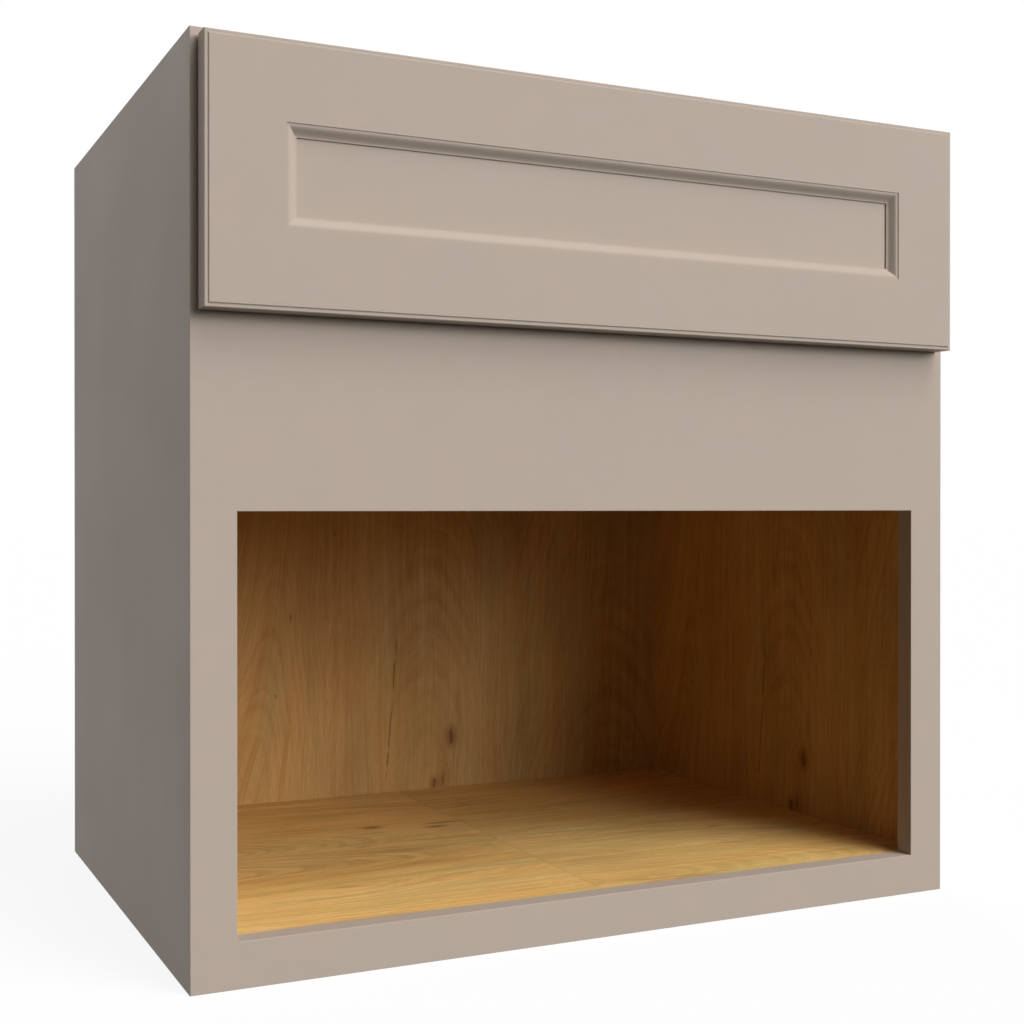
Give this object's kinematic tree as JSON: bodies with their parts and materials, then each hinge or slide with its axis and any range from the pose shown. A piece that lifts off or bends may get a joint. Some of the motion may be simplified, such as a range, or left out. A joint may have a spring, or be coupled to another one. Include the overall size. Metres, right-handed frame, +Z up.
{
  "type": "microwave base cabinet",
  "caption": "Painted face-frame base cabinet with a wide overlay drawer above an open, veneer-lined bay for a microwave oven.",
  "frame": {"origin": "on the floor, under the middle of the cabinet's width and of its depth including the drawer front", "axes": "+X to the right as seen from the front, +Y from the front to the back, +Z up"},
  "size_m": [0.762, 0.5546, 0.762],
  "materials": {
    "painted_side": "satin taupe paint outside, natural veneer inside",
    "painted_frame": "satin taupe paint on hardwood",
    "painted_front": "satin taupe paint on hardwood",
    "veneered_board": "clear-coated natural maple veneer",
    "veneered_back": "clear-coated natural maple veneer",
    "carcass_wood": "planed hardwood",
    "drawer_wood": "clear-coated solid maple",
    "drawer_bottom": "clear-coated maple plywood",
    "brace_plastic": "moulded nylon",
    "bracket_plastic": "moulded nylon",
    "housing_plastic": "moulded nylon",
    "clip_plastic": "moulded nylon",
    "catch_plastic": "moulded acetal",
    "lever_plastic": "moulded acetal",
    "bumper_rubber": "clear soft rubber",
    "slide_steel": "zinc-plated sheet steel",
    "roller_cage": "plastic cage with steel rollers",
    "damper_steel": "bright steel",
    "screw_steel": "zinc-plated steel"
  },
  "bodies": {
    "carcass": {"left_side": "painted_side", "right_side": "painted_side", "bottom_deck": "veneered_board", "bay_ceiling": "veneered_board", "back_panel": "veneered_back", "top_back_rail": "carcass_wood", "bottom_back_cleat": "carcass_wood", "back_panel_screws": "screw_steel", "left_stile": "painted_frame", "right_stile": "painted_frame", "top_rail": "painted_frame", "mid_rail": "painted_frame", "bottom_rail": "painted_frame", "frame_pocket_screws": "screw_steel", "front_left_brace": "brace_plastic", "front_right_brace": "brace_plastic", "rear_left_brace": "brace_plastic", "rear_right_brace": "brace_plastic", "corner_brace_screws": "screw_steel", "left_slide_rail": "slide_steel", "right_slide_rail": "slide_steel", "left_rear_bracket": "bracket_plastic", "right_rear_bracket": "bracket_plastic", "slide_fixing_screws": "screw_steel", "left_soft_close_housing": "housing_plastic", "right_soft_close_housing": "housing_plastic", "left_damper": "damper_steel", "right_damper": "damper_steel"},
    "drawer": {"front_left_stile": "painted_front", "front_right_stile": "painted_front", "front_top_rail": "painted_front", "front_bottom_rail": "painted_front", "front_panel": "painted_front", "front_bumpers": "bumper_rubber", "front_fixing_screws": "screw_steel", "box_left_side": "drawer_wood", "box_right_side": "drawer_wood", "box_front": "drawer_wood", "box_back": "drawer_wood", "box_bottom": "drawer_bottom", "left_slide_runner": "slide_steel", "right_slide_runner": "slide_steel", "left_lock_clip": "clip_plastic", "right_lock_clip": "clip_plastic", "lock_clip_screws": "screw_steel"},
    "left_middle": {"left_slide_middle": "slide_steel"},
    "left_lower_cage": {"left_lower_rollers": "roller_cage"},
    "left_upper_cage": {"left_upper_rollers": "roller_cage"},
    "left_catch": {"left_soft_close_catch": "catch_plastic", "left_damper_rod": "damper_steel"},
    "left_lever": {"left_release_lever": "lever_plastic"},
    "right_middle": {"right_slide_middle": "slide_steel"},
    "right_lower_cage": {"right_lower_rollers": "roller_cage"},
    "right_upper_cage": {"right_upper_rollers": "roller_cage"},
    "right_catch": {"right_soft_close_catch": "catch_plastic", "right_damper_rod": "damper_steel"},
    "right_lever": {"right_release_lever": "lever_plastic"}
  },
  "joints": [
    {"name": "drawer_slide", "type": "slide", "parent": "carcass", "child": "drawer", "axis": [0, -1, 0], "range_m": [0, 0.44]},
    {"name": "left_middle_slide", "type": "slide", "parent": "carcass", "child": "left_middle", "axis": [0, -1, 0], "range_m": [0, 0.22]},
    {"name": "left_lower_cage_slide", "type": "slide", "parent": "carcass", "child": "left_lower_cage", "axis": [0, -1, 0], "range_m": [0, 0.11]},
    {"name": "left_upper_cage_slide", "type": "slide", "parent": "carcass", "child": "left_upper_cage", "axis": [0, -1, 0], "range_m": [0, 0.33]},
    {"name": "left_catch_slide", "type": "slide", "parent": "carcass", "child": "left_catch", "axis": [0, -1, 0], "range_m": [0, 0.045], "stiffness_N_per_m": 60},
    {"name": "left_lever_turn", "type": "hinge", "parent": "drawer", "child": "left_lever", "pos_m": [-0.2725, -0.2144, 0.5897], "axis": [0, 0, -1], "range_deg": [0, 15], "stiffness_Nm_per_rad": 0.05},
    {"name": "right_middle_slide", "type": "slide", "parent": "carcass", "child": "right_middle", "axis": [0, -1, 0], "range_m": [0, 0.22]},
    {"name": "right_lower_cage_slide", "type": "slide", "parent": "carcass", "child": "right_lower_cage", "axis": [0, -1, 0], "range_m": [0, 0.11]},
    {"name": "right_upper_cage_slide", "type": "slide", "parent": "carcass", "child": "right_upper_cage", "axis": [0, -1, 0], "range_m": [0, 0.33]},
    {"name": "right_catch_slide", "type": "slide", "parent": "carcass", "child": "right_catch", "axis": [0, -1, 0], "range_m": [0, 0.045], "stiffness_N_per_m": 60},
    {"name": "right_lever_turn", "type": "hinge", "parent": "drawer", "child": "right_lever", "pos_m": [0.2725, -0.2144, 0.5897], "axis": [0, 0, 1], "range_deg": [0, 15], "stiffness_Nm_per_rad": 0.05}
  ],
  "couplings": [
    {"joint": "left_middle_slide", "follows": "drawer_slide", "ratio": 0.5},
    {"joint": "left_lower_cage_slide", "follows": "drawer_slide", "ratio": 0.25},
    {"joint": "left_upper_cage_slide", "follows": "drawer_slide", "ratio": 0.75},
    {"joint": "right_middle_slide", "follows": "drawer_slide", "ratio": 0.5},
    {"joint": "right_lower_cage_slide", "follows": "drawer_slide", "ratio": 0.25},
    {"joint": "right_upper_cage_slide", "follows": "drawer_slide", "ratio": 0.75}
  ]
}
